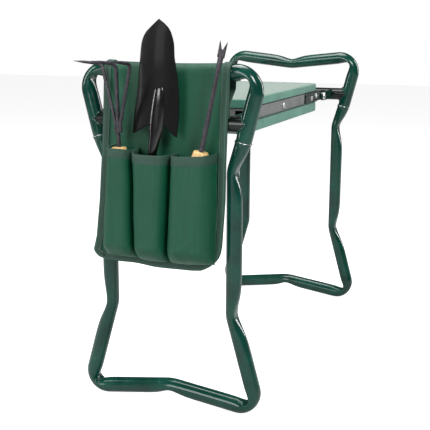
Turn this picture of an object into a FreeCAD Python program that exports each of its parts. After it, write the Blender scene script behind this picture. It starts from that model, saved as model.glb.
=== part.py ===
import FreeCAD, Part
import math
import os
import Sketcher

# Garden kneeler seat: a foam-padded steel seat between two folding tube end frames, with a three-pocket
# tool pouch hung on one frame. Millimetres. X runs along the seat with the pouch end at -X, Y across it,
# and Z up from the floor. "left" is the pouch end, "front" is the -Y side.

doc = FreeCAD.newDocument("garden_kneeler")
sheet = doc.addObject("Spreadsheet::Sheet", "dims")
Vector = FreeCAD.Vector

SIZES = {
    # Seat: where its centre stands, its outline and its layers from the bottom up.
    "seat_x": 38.6,
    "seat_length": 396.0,
    "foam_round": 2.0,
    "foam_gap": 0.1,
    "seat_width": 151.0,
    "pad_low_z": 378.1,
    "pad_low_thick": 17.7,
    "floor_plate_thick": 1.6,
    "rail_height": 15.6,
    "top_plate_thick": 1.0,
    "pad_top_thick": 14.8,
    "plate_length": 394.0,
    "plate_half": 76.8,
    "rail_half": 76.0,
    "rail_depth": 18.0,
    "rail_wall": 1.5,
    "brace_offset": 15.0,
    "brace_width": 22.0,
    "screw_head_radius": 4.6,
    "screw_head_thick": 2.2,
    "screw_reach": 14.0,
    "screw_radius": 2.5,
    "notch_offset": 16.0,
    "notch_size": 6.0,
    "notch_depth": 3.0,
    # End frames: the centreline of the bent tube, which is the same at both ends.
    "frame_offset": 294.0,
    "tube_radius": 11.0,
    "tube_wall": 1.2,
    "top_z": 474.8,
    "top_half": 129.0,
    "top_dip": 14.0,
    "top_bend": 26.0,
    "waist_half": 93.5,
    "waist_high_z": 340.8,
    "waist_low_z": 140.8,
    "waist_bend": 45.0,
    "base_z": 6.8,
    "base_half": 131.0,
    "base_rise": 18.0,
    "base_bend": 21.0,
    "middle_bend": 70.0,
    "joint_z": 379.8,
    "spigot_drop": 24.0,
    "collar_rise": 4.0,
    "weld_gap": 0.1,
    "cross_z": 403.2,
    # Hinges: pivots, brackets on the seat and arms on the frames.
    "pivot_z": 403.8,
    "pivot_left": 196.0,
    "pivot_right": 222.0,
    "bracket_left": 150.0,
    "bracket_right": 113.0,
    "bracket_thick": 2.5,
    "bracket_height": 16.6,
    "bracket_low_z": 397.5,
    "bracket_nose": 13.0,
    "bracket_round": 2.5,
    "lip_out": 5.5,
    "lip_thick": 2.1,
    "washer_gap": 1.5,
    "washer_radius": 8.0,
    "arm_thick": 3.0,
    "arm_half": 8.0,
    "pin_radius": 4.0,
    "pin_head_radius": 7.0,
    "pin_head_thick": 2.6,
    "rivet_head_radius": 4.2,
    "rivet_head_thick": 2.0,
    "rivet_tail_radius": 3.6,
    "rivet_tail_thick": 1.2,
    "running_gap": 0.05,
    # Pouch: a back panel that hangs on the outer side of the left frame.
    "panel_back": 305.4,
    "panel_thick": 2.0,
    "panel_top_z": 470.4,
    "panel_low_z": 208.8,
    "panel_right": -90.0,
    "panel_left": 91.0,
    "panel_low_right": -79.0,
    "panel_low_left": 105.0,
    "pouch_corner": 24.0,
    "edge_tape": 8.0,
    "tape_thick": 3.1,
    "fold_radius": 12.6,
    "flap_bend": 6.0,
    "flap_drop": 19.0,
    "flap_tuck": 4.0,
    "flap_meet": 37.0,
    "flap_length": 54.0,
    "strip_length": 150.0,
    "strip_height": 14.0,
    "strip_thick": 0.8,
    "strip_drop": 53.0,
    "cloth": 1.6,
    "pocket_back": 308.8,
    "pocket_front": 348.0,
    "pocket_low_z": 219.8,
    "pocket_top_z": 365.3,
    "pocket_ease": 9.0,
    "rim_tape": 13.0,
    "rim_thick": 0.8,
    "seam_a": -79.0,
    "seam_b": -9.0,
    "seam_gap": 0.2,
    "seam_c": 38.0,
    "seam_d": 96.0,
    # Tools: each one leans a little in its pocket.
    "tool_offset": 329.0,
    "handle_radius": 13.2,
    "shank_drop": 34.0,
    "grip_y": 55.6,
    "grip_lean": 1.5,
    "grip_turn": 152.0,
    "grip_length": 146.0,
    "grip_foot_z": 223.8,
    "tine_radius": 2.3,
    "shank_radius": 2.9,
    "tine_rise": 110.0,
    "tine_spread": 33.0,
    "tine_hook": 38.0,
    "tine_bend": 9.0,
    "tine_splay": 15.0,
    "tine_lift": 5.0,
    "weld_low": 20.0,
    "weld_high": 32.0,
    "spade_y": 19.8,
    "spade_lean": -3.7,
    "spade_foot_z": 225.8,
    "spade_length": 122.0,
    "blade_length": 155.0,
    "blade_half": 31.0,
    "blade_thick": 1.6,
    "blade_dish": 58.0,
    "blade_foot": 40.0,
    "neck_radius": 7.6,
    "neck_rise": 104.0,
    "fork_y": -29.2,
    "fork_lean": -12.2,
    "fork_foot_z": 230.8,
    "fork_length": 142.0,
    "fork_radius": 3.4,
    "fork_reach": 145.0,
    "fork_head": 38.0,
}
for row, (name, size) in enumerate(SIZES.items(), 1):
    sheet.set(f"A{row}", name)
    sheet.set(f"B{row}", str(size))
    sheet.setAlias(f"B{row}", name)
doc.recompute()


class Dim:
    """A size as the sheet's own expression, with its value for laying out first geometry."""

    def __init__(self, text, value):
        self.text = text
        self.value = value

    def joined(self, sign, other, value, swap=False):
        other_text = other.text if isinstance(other, Dim) else repr(float(other))
        pair = (other_text, self.text) if swap else (self.text, other_text)
        return Dim(f"({pair[0]} {sign} {pair[1]})", value)

    def __add__(self, other):
        return self.joined("+", other, self.value + number(other))

    def __radd__(self, other):
        return self.joined("+", other, self.value + number(other), swap=True)

    def __sub__(self, other):
        return self.joined("-", other, self.value - number(other))

    def __rsub__(self, other):
        return self.joined("-", other, number(other) - self.value, swap=True)

    def __mul__(self, other):
        return self.joined("*", other, self.value * number(other))

    __rmul__ = __mul__

    def __truediv__(self, other):
        return self.joined("/", other, self.value / number(other))

    def __neg__(self):
        return self * -1.0


def number(size):
    return size.value if isinstance(size, Dim) else float(size)


def text_of(size):
    return size.text if isinstance(size, Dim) else repr(float(size))


class Sheet:
    """Each alias of the sheet as a Dim attribute."""

    def __init__(self, names):
        for name in names:
            setattr(self, name, Dim(f"dims.{name}", float(sheet.get(name))))


D = Sheet(SIZES)
NO_INSET = Dim("0.0", 0.0)
ENDS = {"left": -1, "right": 1}
SIDES = {"front": -1, "back": 1}
parts = {}


def keep(label, piece):
    """Names a finished sub-part."""
    piece.Label = label
    parts[label] = piece
    return piece


def bind(piece, prop, size):
    piece.setExpression(prop, text_of(size))


def place(piece, spot, rotation=None):
    """Puts an object at a spot given by the sheet, turned by a fixed rotation."""
    if rotation is not None:
        piece.Placement = FreeCAD.Placement(Vector(), rotation)
    for axis, size in zip("xyz", spot):
        bind(piece, f".Placement.Base.{axis}", size)
    return piece


ALONG_Y = FreeCAD.Rotation(Vector(1, 0, 0), -90)


def box(low, size):
    solid = doc.addObject("Part::Box", "Block")
    for prop, length in zip(("Length", "Width", "Height"), size):
        bind(solid, prop, length)
    return place(solid, low)


def rod(start, radius, length, rotation=None):
    solid = doc.addObject("Part::Cylinder", "Rod")
    bind(solid, "Radius", radius)
    bind(solid, "Height", length)
    return place(solid, start, rotation)


def rod_across(x, y_near, y_far, z, radius, side):
    """A rod along Y from y_near out to y_far on the front or the back side."""
    start = y_near if side > 0 else -y_far
    return rod((x, start, z), radius, y_far - y_near, ALONG_Y)


def plate_across(x_low, x_high, y_near, y_far, z_low, height, side):
    """A block between two distances from the centre plane, on the front or the back side."""
    start = y_near if side > 0 else -y_far
    return box((x_low, start, z_low), (x_high - x_low, y_far - y_near, height))


def joined(pieces):
    fused = doc.addObject("Part::MultiFuse", "Joined")
    fused.Shapes = pieces
    return fused


def group(pieces):
    """Like pieces that stay separate solids in one sub-part."""
    together = doc.addObject("Part::Compound", "Group")
    together.Links = pieces
    return together


def cut(piece, tools):
    tool = tools[0] if len(tools) == 1 else joined(tools)
    trimmed = doc.addObject("Part::Cut", "Trimmed")
    trimmed.Base = piece
    trimmed.Tool = tool
    return trimmed


def rounded(piece, radius, chosen):
    """Rounds the edges of a piece that the test picks."""
    doc.recompute()
    edges = [i for i, edge in enumerate(piece.Shape.Edges, 1) if chosen(edge)]
    soft = doc.addObject("Part::Fillet", "Rounded")
    soft.Base = piece
    soft.Edges = [(i, radius.value, radius.value) for i in edges]
    return soft


def domed_head(x, y_near, z, radius, thick, side):
    """A low round head whose outer edge is rounded over."""
    head = rod_across(x, y_near, y_near + thick, z, radius, side)
    crown = (y_near + thick * 0.9).value
    return rounded(head, thick * 0.7, lambda edge: side * edge.CenterOfMass.y > crown)


def runs_along(axis):
    """A test for straight edges along one axis."""

    def test(edge):
        if not isinstance(edge.Curve, Part.Line):
            return False
        return abs(abs(edge.Curve.Direction.dot(axis)) - 1) < 1e-6

    return test


# ---- Sketch helpers ----


def origin_plane(body, role):
    return next(item for item in body.Origin.OriginFeatures if item.Role == role)


def sketch_on(body, role, name):
    sketch = body.newObject("Sketcher::SketchObject", name)
    sketch.AttachmentSupport = [(origin_plane(body, role), "")]
    sketch.MapMode = "FlatFace"
    return sketch


def pin_point(sketch, item, end, spot, name):
    """Ties a sketch point to sizes in the sheet."""
    for kind, letter, size in zip(("DistanceX", "DistanceY"), "uv", spot):
        rule = sketch.addConstraint(Sketcher.Constraint(kind, -1, 1, item, end, number(size)))
        sketch.renameConstraint(rule, f"{name}{letter}")
        if isinstance(size, Dim):
            sketch.setExpression(f"Constraints.{name}{letter}", size.text)


def draw_outline(sketch, corners, name="p"):
    """A closed outline of straight lines whose corners are all held by the sheet."""
    spots = [Vector(number(u), number(v), 0) for u, v in corners]
    count = len(spots)
    first = sketch.GeometryCount
    for i in range(count):
        sketch.addGeometry(Part.LineSegment(spots[i], spots[(i + 1) % count]))
    for i in range(count):
        following = first + (i + 1) % count
        sketch.addConstraint(Sketcher.Constraint("Coincident", first + i, 2, following, 1))
    for i, corner in enumerate(corners):
        pin_point(sketch, first + i, 1, corner, f"{name}{i}")


def pad_of(body, sketch, length, midplane=False, name="Pad"):
    pad = body.newObject("PartDesign::Pad", name)
    pad.Profile = sketch
    if midplane:
        pad.SideType = "Symmetric"
    bind(pad, "Length", length)
    return pad


def panel_body(outlines, length, spot, role="YZ_Plane", midplane=False):
    """A flat piece: one outline, or an outline with a hole, padded off an origin plane."""
    body = doc.addObject("PartDesign::Body", "Panel")
    sketch = sketch_on(body, role, "Outline")
    for i, outline in enumerate(outlines):
        draw_outline(sketch, outline, f"p{i}_")
    pad_of(body, sketch, length, midplane)
    return place(body, spot)


def draw_rings(sketch, centre, radii):
    for i, radius in enumerate(radii):
        ring = sketch.addGeometry(Part.Circle(Vector(0, number(centre), 0), Vector(0, 0, 1), number(radius)))
        sketch.addConstraint(Sketcher.Constraint("PointOnObject", ring, 3, -2))
        rule = sketch.addConstraint(Sketcher.Constraint("Radius", ring, number(radius)))
        sketch.renameConstraint(rule, f"ring{i}")
        bind(sketch, f"Constraints.ring{i}", radius)
        if number(centre) == 0:
            sketch.addConstraint(Sketcher.Constraint("PointOnObject", ring, 3, -1))
            continue
        rule = sketch.addConstraint(Sketcher.Constraint("DistanceY", -1, 1, ring, 3, number(centre)))
        sketch.renameConstraint(rule, f"height{i}")
        bind(sketch, f"Constraints.height{i}", centre)


def bend_between(before, corner, after, radius):
    """The two tangent points and the centre of a bend that rounds a corner."""
    back = (before - corner).normalize()
    ahead = (after - corner).normalize()
    half = back.getAngle(ahead) / 2
    centre = corner + (back + ahead).normalize() * (radius / math.sin(half))
    reach = radius / math.tan(half)
    return corner + back * reach, corner + ahead * reach, centre


def add_arc(sketch, centre, start, end):
    """Adds the short arc and returns it with the sketch's own end numbers for start and end."""
    turn = (start - centre).cross(end - centre).z
    first, last = (start, end) if turn > 0 else (end, start)
    angles = [math.atan2(p.y - centre.y, p.x - centre.x) for p in (first, last)]
    circle = Part.Circle(centre, Vector(0, 0, 1), (start - centre).Length)
    item = sketch.addGeometry(Part.ArcOfCircle(circle, *angles))
    return (item, 1, 2) if turn > 0 else (item, 2, 1)


def hold_radius(sketch, item, radius, name):
    rule = sketch.addConstraint(Sketcher.Constraint("Radius", item, number(radius)))
    sketch.renameConstraint(rule, name)
    bind(sketch, f"Constraints.{name}", radius)


def hold_corner(sketch, lines, corner, name):
    """A construction point on both runs, where they would meet without the bend."""
    mark = sketch.addGeometry(Part.Point(Vector(number(corner[0]), number(corner[1]), 0)), True)
    for line in lines:
        sketch.addConstraint(Sketcher.Constraint("PointOnObject", mark, 1, line))
    pin_point(sketch, mark, 1, corner, name)


def corner_spots(corners):
    return [Vector(number(u), number(v), 0) for u, v in corners]


def draw_bends(sketch, corners, radii, start):
    """Straight runs from a start point, joined by tangent bends that round the corners."""
    spots = corner_spots(corners)
    starts, bends = [start], []
    for i, radius in enumerate(radii, 1):
        bends.append(bend_between(spots[i - 1], spots[i], spots[i + 1], number(radius)))
        starts.append(bends[-1][1])
    ends = [bend[0] for bend in bends] + [spots[-1]]
    lines = [sketch.addGeometry(Part.LineSegment(a, b)) for a, b in zip(starts, ends)]
    for i, (near, far, centre) in enumerate(bends):
        arc, first, last = add_arc(sketch, centre, near, far)
        sketch.addConstraint(Sketcher.Constraint("Tangent", lines[i], 2, arc, first))
        sketch.addConstraint(Sketcher.Constraint("Tangent", arc, last, lines[i + 1], 1))
        hold_radius(sketch, arc, radii[i], f"bend{i}")
        hold_corner(sketch, lines[i : i + 2], corners[i + 1], f"corner{i}_")
    pin_point(sketch, lines[-1], 2, corners[-1], "end_")
    return lines


def draw_path(sketch, corners, radii):
    """An open path whose first point is held by the sheet too."""
    lines = draw_bends(sketch, corners, radii, corner_spots(corners)[0])
    pin_point(sketch, lines[0], 1, corners[0], "start_")


def draw_half_path(sketch, corners, radii):
    """Half of a mirrored centreline: a bend centred on the mirror plane, then runs and bends."""
    peak_spot, next_spot = corner_spots(corners[:2])
    run = next_spot - peak_spot
    slope = math.atan2(run.y, run.x)
    radius = number(radii[0])
    touch = peak_spot + run.normalize() * abs(radius * math.tan(slope / 2))
    rise = math.copysign(radius, slope)
    centre = Vector(0, touch.y + rise * math.cos(slope), 0)
    lines = draw_bends(sketch, corners, radii[1:], touch)
    middle, first, last = add_arc(sketch, centre, centre - Vector(0, rise, 0), touch)
    sketch.addConstraint(Sketcher.Constraint("Tangent", middle, last, lines[0], 1))
    sketch.addConstraint(Sketcher.Constraint("PointOnObject", middle, 3, -2))
    sketch.addConstraint(Sketcher.Constraint("PointOnObject", middle, first, -2))
    hold_radius(sketch, middle, radii[0], "middle")
    peak = sketch.addGeometry(Part.Point(peak_spot), True)
    sketch.addConstraint(Sketcher.Constraint("PointOnObject", peak, 1, -2))
    sketch.addConstraint(Sketcher.Constraint("PointOnObject", peak, 1, lines[0]))
    rule = sketch.addConstraint(Sketcher.Constraint("DistanceY", -1, 1, peak, 1, peak_spot.y))
    sketch.renameConstraint(rule, "peak")
    bind(sketch, "Constraints.peak", corners[0][1])
    return centre_height(corners[0][1], slope, radii[0])


def centre_height(peak, slope, radius):
    """Where a bend of this radius crosses the mirror plane, past the corner that it rounds."""
    ease = abs(1 / math.cos(slope) - 1)
    return peak + radius * math.copysign(ease, slope)


# ---- Seat: foam pad, steel plate, rails, steel plate, foam pad ----

seat_low_x = D.seat_x - D.seat_length / 2
plate_low_x = D.seat_x - D.plate_length / 2
floor_plate_z = D.pad_low_z + D.pad_low_thick
rail_z = floor_plate_z + D.floor_plate_thick
top_plate_z = rail_z + D.rail_height
pad_top_z = top_plate_z + D.top_plate_thick
pad_size = (D.seat_length, D.seat_width)
foam_thick = D.pad_low_thick - D.foam_gap

pad_low = box((seat_low_x, -D.seat_width / 2, D.pad_low_z), (*pad_size, foam_thick))
sole_z = (D.pad_low_z + D.foam_round).value
keep("foam_pad_bottom", rounded(pad_low, D.foam_round, lambda edge: edge.BoundBox.ZMax < sole_z))

pad_top = box(
    (seat_low_x, -D.seat_width / 2, pad_top_z + D.foam_gap), (*pad_size, D.pad_top_thick - D.foam_gap)
)
notch_low = (D.seat_x + D.notch_offset, -D.seat_width / 2 - 1, pad_top_z - 1)
pad_notched = cut(pad_top, [box(notch_low, (D.notch_size, D.notch_depth + 1, D.notch_size))])
crown_z = (pad_top_z + D.pad_top_thick - D.foam_round).value
keep("foam_pad_top", rounded(pad_notched, D.foam_round, lambda edge: edge.BoundBox.ZMin > crown_z))

keep(
    "seat_plate_bottom",
    box((plate_low_x, -D.plate_half, floor_plate_z), (D.plate_length, 2 * D.plate_half, D.floor_plate_thick)),
)
keep(
    "seat_plate_top",
    box((plate_low_x, -D.rail_half, top_plate_z), (D.plate_length, 2 * D.rail_half, D.top_plate_thick)),
)

brace_x = D.seat_x - D.brace_offset
brace_low_x = brace_x - D.brace_width / 2
brace_z = rail_z + D.rail_wall + D.weld_gap
brace_height = D.rail_height - 2 * (D.rail_wall + D.weld_gap)
brace_half = D.rail_half - D.rail_wall - D.weld_gap
screw_z = rail_z + D.rail_height / 2
rail_low_x = plate_low_x + 0.5
rail_high_x = rail_low_x + D.plate_length - 1

pivots = {"left": D.seat_x - D.pivot_left, "right": D.seat_x + D.pivot_right}
bracket_starts = {"left": D.seat_x - D.bracket_left, "right": D.seat_x + D.bracket_right}
RIVET_STEPS = {"left": (13.0, 30.0), "right": (38.0, 68.0)}
RIVET_LIFTS = (6.8, 9.8)


def rivet_spots(end):
    """Both rivets of one bracket, as X and Z."""
    start, way = bracket_starts[end], ENDS[end]
    return [(start + way * step, D.bracket_low_z + lift) for step, lift in zip(RIVET_STEPS[end], RIVET_LIFTS)]


rivet_hole = D.screw_radius + D.running_gap
screws, rivets = [], []
for side_name, side in SIDES.items():
    outer = plate_across(
        rail_low_x, rail_high_x, D.rail_half - D.rail_depth, D.rail_half, rail_z, D.rail_height, side
    )
    hollow = plate_across(
        rail_low_x - 1,
        rail_high_x + 1,
        D.rail_half - D.rail_depth - 1,
        D.rail_half - D.rail_wall,
        rail_z + D.rail_wall,
        D.rail_height - 2 * D.rail_wall,
        side,
    )
    holes = [rod_across(brace_x, D.rail_half - 5, D.rail_half + 1, screw_z, rivet_hole, side)]
    for end_name in ENDS:
        for x, z in rivet_spots(end_name):
            holes.append(rod_across(x, D.rail_half - 5, D.rail_half + 1, z, rivet_hole, side))
    keep(f"side_rail_{side_name}", cut(outer, [hollow] + holes))
    head = domed_head(brace_x, D.rail_half, screw_z, D.screw_head_radius, D.screw_head_thick, side)
    shank = rod_across(
        brace_x, D.rail_half - D.screw_reach, D.rail_half + D.rail_wall / 2, screw_z, D.screw_radius, side
    )
    screws.append(joined([head, shank]))
keep("rail_screws", group(screws))

brace = box((brace_low_x, -brace_half, brace_z), (D.brace_width, 2 * brace_half, brace_height))
brace_bores = [
    rod_across(brace_x, D.rail_half - D.screw_reach - 1, D.rail_half, screw_z, rivet_hole, side)
    for side in SIDES.values()
]
keep("cross_brace", cut(brace, brace_bores))

end_rail_half = D.rail_half - D.rail_depth - D.weld_gap
for end_name, way in ENDS.items():
    low_x = rail_low_x if way < 0 else rail_high_x - D.rail_depth
    hollow_x = low_x + D.rail_wall if way < 0 else low_x - 1
    outer = box((low_x, -end_rail_half, rail_z), (D.rail_depth, 2 * end_rail_half, D.rail_height))
    hollow = box(
        (hollow_x, -end_rail_half - 1, rail_z + D.rail_wall),
        (D.rail_depth - D.rail_wall + 1, 2 * end_rail_half + 2, D.rail_height - 2 * D.rail_wall),
    )
    keep(f"end_rail_{end_name}", cut(outer, [hollow]))

# ---- Hinges: bracket, rivets, pivot pin and washer at each corner of the seat ----

bracket_out = D.rail_half + D.bracket_thick
arm_in = bracket_out + D.washer_gap
arm_out = arm_in + D.arm_thick
lip_z = D.bracket_low_z + D.bracket_height - D.lip_thick
pin_hole = D.pin_radius + D.running_gap
across = runs_along(Vector(0, 1, 0))
pins = {end_name: [] for end_name in ENDS}
washers = {end_name: [] for end_name in ENDS}

for end_name, way in ENDS.items():
    pivot, start = pivots[end_name], bracket_starts[end_name]
    nose = pivot + way * D.bracket_nose
    low_x, high_x = (start, nose) if way > 0 else (nose, start)
    lip_low_x = pivot if way > 0 else nose + D.bracket_round
    for side_name, side in SIDES.items():
        strap = plate_across(
            low_x, high_x, D.rail_half, bracket_out, D.bracket_low_z, D.bracket_height, side
        )
        strap = rounded(strap, D.bracket_round, across)
        lip = plate_across(
            lip_low_x,
            lip_low_x + D.bracket_nose - D.bracket_round,
            bracket_out - 1,
            bracket_out + D.lip_out,
            lip_z,
            D.lip_thick - 0.02,
            side,
        )
        holes = [rod_across(pivot, D.rail_half - 1, bracket_out + 1, D.pivot_z, pin_hole, side)]
        for x, z in rivet_spots(end_name):
            holes.append(rod_across(x, D.rail_half - 1, bracket_out + 1, z, rivet_hole, side))
        keep(f"hinge_bracket_{end_name}_{side_name}", cut(joined([strap, lip]), holes))

        for x, z in rivet_spots(end_name):
            head = domed_head(x, bracket_out, z, D.rivet_head_radius, D.rivet_head_thick, side)
            inside = D.rail_half - D.rail_wall
            shank = rod_across(x, inside - 1, bracket_out + 0.5, z, D.screw_radius, side)
            tail = rod_across(x, inside - D.rivet_tail_thick, inside, z, D.rivet_tail_radius, side)
            rivets.append(joined([head, shank, tail]))

        head_in = arm_out + D.running_gap
        shaft = rod_across(pivot, D.rail_half, head_in + 1, D.pivot_z, D.pin_radius, side)
        head = domed_head(pivot, head_in, D.pivot_z, D.pin_head_radius, D.pin_head_thick, side)
        pins[end_name].append(joined([shaft, head]))

        ring = rod_across(
            pivot, bracket_out + D.weld_gap, arm_in - D.weld_gap, D.pivot_z, D.washer_radius, side
        )
        bore = rod_across(pivot, bracket_out, arm_in, D.pivot_z, pin_hole, side)
        washers[end_name].append(cut(ring, [bore]))
    keep(f"pivot_pins_{end_name}", group(pins[end_name]))
    keep(f"pivot_washers_{end_name}", group(washers[end_name]))
keep("bracket_rivets", group(rivets))

# ---- End frames: an upper and a lower bent tube, a cross tube and two hinge arms each ----

flare = (D.top_half - D.waist_half) / (D.top_z - D.waist_high_z)
joint_half = D.waist_half + flare * (D.joint_z - D.waist_high_z)
cross_half = D.waist_half + flare * (D.cross_z - D.waist_high_z)
tilt = Dim(f"atan({flare.text})", math.degrees(math.atan(flare.value)))
stretch = Dim(f"sqrt(1 + {flare.text} * {flare.text})", math.hypot(1, flare.value))
bore_radius = D.tube_radius - D.tube_wall
cope_radius = D.tube_radius + D.weld_gap


def leaning_rod(x, z_low, z_high, radius, side):
    """A rod along the upper run of the frame's leg, between two heights."""
    half = D.waist_half + flare * (z_low - D.waist_high_z)
    outwards = FreeCAD.Rotation(Vector(-side, 0, 0), tilt.value)
    solid = rod((x, side * half, z_low), radius, (z_high - z_low) * stretch, outwards)
    bind(solid, ".Placement.Rotation.Angle", tilt)
    return solid


def bent_tube(corners, radii, x):
    """A hollow tube bent symmetrically about the centre plane."""
    body = doc.addObject("PartDesign::Body", "Tube")
    path = sketch_on(body, "YZ_Plane", "Centreline")
    middle_z = draw_half_path(path, corners, radii)
    ring = sketch_on(body, "XZ_Plane", "Section")
    draw_rings(ring, middle_z, (D.tube_radius, bore_radius))
    pipe = body.newObject("PartDesign::AdditivePipe", "Pipe")
    pipe.Profile = ring
    pipe.Spine = path
    mirrored = body.newObject("PartDesign::Mirrored", "OtherHalf")
    mirrored.Originals = [pipe]
    mirrored.MirrorPlane = (origin_plane(body, "XZ_Plane"), [""])
    body.Tip = mirrored
    return place(body, (x, 0, 0))


for end_name, way in ENDS.items():
    frame_x = D.seat_x + way * D.frame_offset
    joint = (joint_half, D.joint_z)
    handle = bent_tube(
        [(0, D.top_z - D.top_dip), (D.top_half, D.top_z), joint], (D.middle_bend, D.top_bend), frame_x
    )
    spigots = []
    for side in SIDES.values():
        foot_z = D.joint_z - D.spigot_drop
        collar_z = D.joint_z + D.collar_rise
        neck = leaning_rod(frame_x, foot_z, collar_z, bore_radius - D.weld_gap, side)
        collar = leaning_rod(frame_x, D.joint_z, collar_z, D.tube_radius - D.tube_wall / 2, side)
        core = leaning_rod(frame_x, foot_z - 1, collar_z + 1, bore_radius - D.tube_wall, side)
        spigots.append(cut(joined([neck, collar]), [core]))
    keep(f"handle_tube_{end_name}", joined([handle] + spigots))

    leg_corners = [
        (0, D.base_z + D.base_rise),
        (D.base_half, D.base_z),
        (D.waist_half, D.waist_low_z),
        (D.waist_half, D.waist_high_z),
        joint,
    ]
    bends = (D.middle_bend, D.base_bend, D.waist_bend, D.waist_bend)
    keep(f"leg_tube_{end_name}", bent_tube(leg_corners, bends, frame_x))

    bar = rod((frame_x, -cross_half, D.cross_z), D.tube_radius, 2 * cross_half, ALONG_Y)
    bar_bore = rod((frame_x, -cross_half - 1, D.cross_z), bore_radius, 2 * cross_half + 2, ALONG_Y)
    copes = [
        leaning_rod(
            frame_x, D.cross_z - 2 * cope_radius, D.cross_z + 2 * cope_radius, cope_radius, side
        )
        for side in SIDES.values()
    ]
    keep(f"cross_tube_{end_name}", cut(bar, [bar_bore] + copes))

    for side_name, side in SIDES.items():
        pivot = pivots[end_name]
        low_x, high_x = (pivot, frame_x) if way > 0 else (frame_x, pivot)
        flat = plate_across(
            low_x, high_x, arm_in, arm_out, D.pivot_z - D.arm_half, 2 * D.arm_half, side
        )
        eye = rod_across(pivot, arm_in, arm_out, D.pivot_z, D.arm_half, side)
        hole = rod_across(pivot, arm_in - 1, arm_out + 1, D.pivot_z, pin_hole, side)
        cope = rod_across(frame_x, arm_in - 1, arm_out + 1, D.cross_z, cope_radius, side)
        keep(f"hinge_arm_{end_name}_{side_name}", cut(joined([flat, eye]), [hole, cope]))

# ---- Pouch: back panel, wrap-over flap with its fastener, three pockets and bindings ----

pouch_x = D.seat_x - D.panel_back


def pouch_outline(inset):
    """The panel's outline seen along X, narrower towards the bottom, with cut bottom corners."""
    right, left = D.panel_right + inset, D.panel_left - inset
    low_right, low_left = D.panel_low_right + inset, D.panel_low_left - inset
    low = D.panel_low_z + inset
    top = D.panel_top_z
    corner = D.pouch_corner
    return [
        (left, top),
        (low_left, low + corner),
        (low_left - 0.3 * corner, low + 0.3 * corner),
        (low_left - corner, low),
        (low_right + corner, low),
        (low_right + 0.3 * corner, low + 0.3 * corner),
        (low_right, low + corner),
        (right, top),
    ]


tape = D.edge_tape
panel = panel_body([pouch_outline(tape)], D.panel_thick, (pouch_x - D.panel_thick, 0, 0))
keep("pouch_panel", panel)
outer_edge, inner_edge = pouch_outline(NO_INSET), pouch_outline(tape - D.weld_gap)
ring_outline = [*outer_edge, *reversed(inner_edge)]
binding = panel_body([ring_outline], D.tape_thick, (pouch_x - D.tape_thick + 0.2, 0, 0))
keep("pouch_binding", binding)

fold_z = D.panel_top_z + 0.4
flap_x = D.seat_x - D.panel_back - D.cloth / 2 - 0.4
fold_width = 2 * D.fold_radius
fold_bend = D.fold_radius - 0.1
flap_body = doc.addObject("PartDesign::Body", "Flap")
flap_path = sketch_on(flap_body, "XZ_Plane", "Run")
draw_path(
    flap_path,
    [
        (0, 0),
        (0, D.fold_radius),
        (fold_width, D.fold_radius),
        (fold_width, -D.flap_drop),
        (D.flap_tuck, -D.flap_meet),
        (D.flap_tuck, -D.flap_length),
    ],
    (fold_bend, fold_bend, D.flap_bend, D.flap_bend),
)
flap_section = sketch_on(flap_body, "XY_Plane", "Section")
half_cloth = D.cloth / 2
draw_outline(
    flap_section,
    [
        (-half_cloth, D.panel_right),
        (half_cloth, D.panel_right),
        (half_cloth, D.panel_left),
        (-half_cloth, D.panel_left),
    ],
)
flap_pipe = flap_body.newObject("PartDesign::AdditivePipe", "Pipe")
flap_pipe.Profile = flap_section
flap_pipe.Spine = flap_path
keep("pouch_flap", place(flap_body, (flap_x, 0, fold_z)))

strip_size = (D.strip_thick, D.strip_length, D.strip_height)
strip_z = fold_z - D.strip_drop
loop_x = pouch_x + D.weld_gap * 3
hook_x = loop_x + D.strip_thick + D.weld_gap
keep("loop_strip", box((loop_x, -D.strip_length / 2, strip_z), strip_size))
keep("hook_strip", box((hook_x, -D.strip_length / 2, strip_z), strip_size))

SEAMS = {
    "pocket_right": (D.seam_a, D.seam_b),
    "pocket_middle": (D.seam_b, D.seam_c),
    "pocket_left": (D.seam_c, D.seam_d),
}
pocket_back_x = D.seat_x - D.pocket_back
pocket_front_x = D.seat_x - D.pocket_front


def pocket_outline(near, far, inset):
    """One pocket seen from above: flat at the back, easing round to a flat front."""
    ease = D.pocket_ease
    flank = pocket_back_x - 0.5 * ease
    low, high = near + inset + D.seam_gap, far - inset - D.seam_gap
    front = pocket_front_x + inset
    return [
        (pocket_back_x, low),
        (flank, low),
        (front + 0.25 * ease, low + 0.35 * ease),
        (front, low + ease),
        (front, high - ease),
        (front + 0.25 * ease, high - 0.35 * ease),
        (flank, high),
        (pocket_back_x, high),
    ]


rims = []
for label, (near, far) in SEAMS.items():
    outer = pocket_outline(near, far, NO_INSET)
    inner = pocket_outline(near, far, D.cloth)
    inner[0] = (pocket_back_x - D.cloth / 2, inner[0][1])
    inner[-1] = (pocket_back_x - D.cloth / 2, inner[-1][1])
    height = D.pocket_top_z - D.pocket_low_z
    body = doc.addObject("PartDesign::Body", "Pocket")
    walls = sketch_on(body, "XY_Plane", "Walls")
    draw_outline(walls, outer, "o")
    draw_outline(walls, inner, "i")
    pad_of(body, walls, height, name="Wall")
    base = sketch_on(body, "XY_Plane", "Base")
    draw_outline(base, outer, "b")
    pad_of(body, base, D.cloth, name="Floor")
    keep(label, place(body, (0, 0, D.pocket_low_z)))
    rim_out = pocket_outline(near, far, -(D.rim_thick + D.weld_gap))
    rim_in = pocket_outline(near, far, -D.weld_gap)
    band = [*rim_out[2:-2], *reversed(rim_in[2:-2])]
    rims.append(panel_body([band], D.rim_tape, (0, 0, D.pocket_top_z - D.rim_tape), "XY_Plane"))
keep("pocket_bindings", group(rims))

# ---- Tools: each stands in a pocket on its wooden handle ----

HANDLE_FORM = ((0.5, 0.0), (0.78, 0.05), (0.97, 0.16), (1.0, 0.25), (0.86, 0.55), (0.97, 0.78), (0.74, 1.0))


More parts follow.
